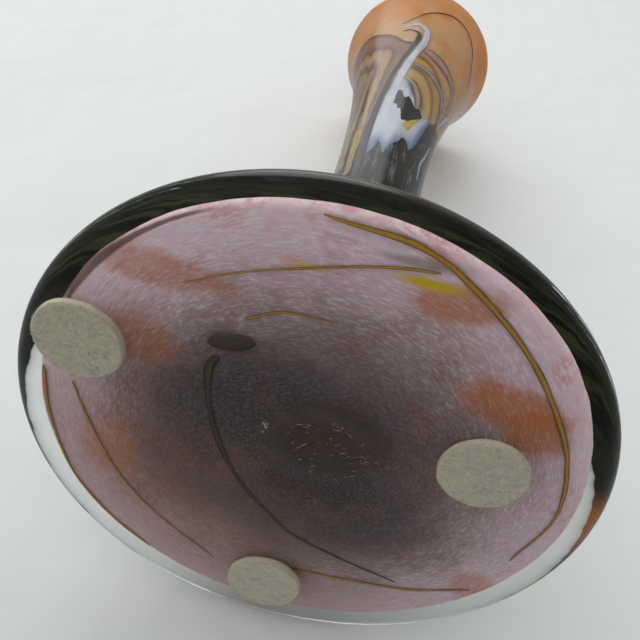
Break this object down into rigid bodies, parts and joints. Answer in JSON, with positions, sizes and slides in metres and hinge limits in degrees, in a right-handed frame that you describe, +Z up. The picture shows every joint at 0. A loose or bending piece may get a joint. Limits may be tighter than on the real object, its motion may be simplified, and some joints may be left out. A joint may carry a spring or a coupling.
{
  "type": "hand blown glass vase",
  "caption": "Tall-necked hand blown vase with a broad flat foot and flared lip, cased colour over the foot, shoulder and lip, standing on felt pads.",
  "frame": {"origin": "on the vessel's axis, in the plane under the felt pads", "axes": "+Z up along the vessel's axis, +X towards the side the lip leans to, -Y towards the white shard"},
  "size_m": [0.1728, 0.1728, 0.38],
  "materials": {
    "clear_glass": "polished",
    "inner_glass": "polished",
    "pink_glass": "mottled powder colour",
    "dark_glass": "polished",
    "peach_glass": "mottled powder colour",
    "olive_glass": "polished",
    "brown_glass": "polished",
    "white_glass": "polished",
    "amber_glass": "polished",
    "mauve_glass": "polished",
    "slate_glass": "polished",
    "felt": "pressed wool felt",
    "adhesive": "pressure-sensitive film"
  },
  "bodies": {
    "root": {"clear_casing": "clear_glass", "inner_bubble": "inner_glass", "pink_base_overlay": "pink_glass", "dark_shoulder_overlay": "dark_glass", "peach_lip_overlay": "peach_glass", "base_trail_outer": "olive_glass", "base_trail_upper": "olive_glass", "base_trail_inner": "olive_glass", "base_trail_centre": "olive_glass", "base_trail_left": "olive_glass", "base_trail_rim": "olive_glass", "base_trail_back": "olive_glass", "centre_gob": "brown_glass", "neck_white_shard": "white_glass", "neck_black_trail": "brown_glass", "neck_dark_notch": "brown_glass", "neck_yellow_tip": "amber_glass", "neck_violet_arc": "mauve_glass", "neck_grey_arc": "slate_glass", "lip_mauve_arc": "mauve_glass", "lip_amber_trail": "olive_glass", "felt_pad_left": "felt", "felt_pad_right": "felt", "felt_pad_back": "felt", "pad_adhesive_left": "adhesive", "pad_adhesive_right": "adhesive", "pad_adhesive_back": "adhesive"}
  },
  "joints": []
}
